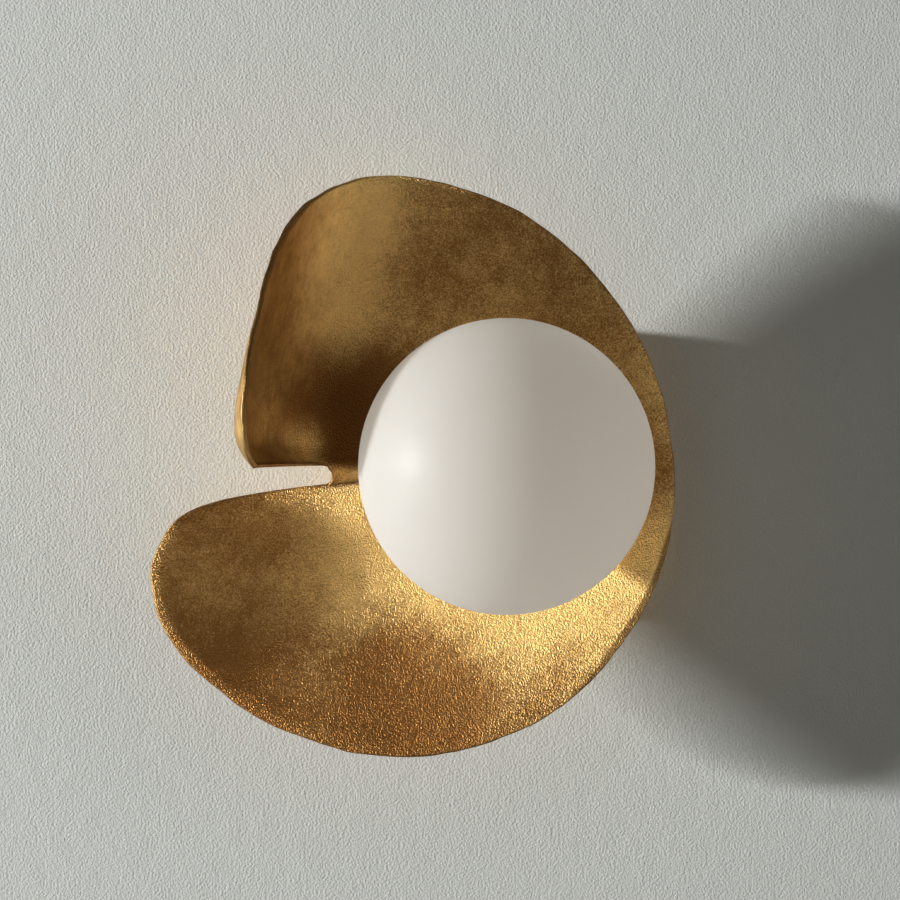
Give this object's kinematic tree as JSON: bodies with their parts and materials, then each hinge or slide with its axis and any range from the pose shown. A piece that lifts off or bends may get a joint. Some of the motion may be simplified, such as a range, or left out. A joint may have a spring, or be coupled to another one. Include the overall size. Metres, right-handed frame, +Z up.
{
  "type": "wall sconce",
  "caption": "Wall sconce: an opal glass globe on a screw-fit holder, in front of a hammered brass leaf whose wing curls forward beside it, on a round canopy.",
  "frame": {"origin": "on the wall plane, where the lamp's axis meets it: the middle of the wall strap's back face", "axes": "+X to the right as seen from the front, +Y into the wall, +Z up; the lamp stands out along -Y"},
  "size_m": [0.233, 0.1579, 0.2581],
  "materials": {
    "leaf_brass": "cast, hammered, dark gilt patina",
    "canopy_brass": "spun, satin, dark gilt patina",
    "machined_brass": "machined",
    "zinc_steel": "zinc plated",
    "green_steel": "green coated",
    "contact_bronze": "stamped",
    "pin_metal": "bright",
    "ceramic": "white glazed ceramic",
    "opal_glass": "opal, satin gloss",
    "bulb_glass": "frosted",
    "light_bar": "yellow phosphor",
    "gasket_rubber": "matt",
    "bushing_plastic": "matt",
    "connector_plastic": "matt",
    "brown_insulation": "satin",
    "white_insulation": "satin",
    "green_insulation": "satin"
  },
  "bodies": {
    "fixture": {"wall_strap": "zinc_steel", "canopy_screws": "canopy_brass", "canopy": "canopy_brass", "leaf_shell": "leaf_brass", "lamp_nipple": "machined_brass", "nipple_lock_washer": "zinc_steel", "nipple_rear_nut": "machined_brass", "nipple_bushing": "bushing_plastic", "glass_holder": "canopy_brass", "lamp_bracket": "zinc_steel", "nipple_front_nut": "machined_brass", "lampholder": "ceramic", "lampholder_contacts": "contact_bronze", "lampholder_screws": "zinc_steel", "live_lead": "brown_insulation", "neutral_lead": "white_insulation", "ground_lead": "green_insulation", "ground_terminal": "zinc_steel", "ground_screw": "green_steel", "wire_connectors": "connector_plastic"},
    "globe_seal": {"globe_gasket": "gasket_rubber"},
    "globe": {"glass_globe": "opal_glass"},
    "bulb": {"bulb_foot": "ceramic", "bulb_pins": "pin_metal", "bulb_capsule": "bulb_glass", "bulb_light_bar": "light_bar"}
  },
  "joints": [
    {"name": "globe_turn", "type": "hinge", "parent": "fixture", "child": "globe_seal", "pos_m": [0, 0, 0], "axis": [0, -1, 0], "range_deg": [0, 720]},
    {"name": "globe_lift", "type": "slide", "parent": "globe_seal", "child": "globe", "axis": [0, -1, 0], "range_m": [0, 0.009]},
    {"name": "bulb_pull", "type": "slide", "parent": "fixture", "child": "bulb", "axis": [0, -1, 0], "range_m": [0, 0.014]}
  ],
  "couplings": [
    {"joint": "globe_lift", "follows": "globe_turn", "m_per_rad": 0.000716}
  ]
}
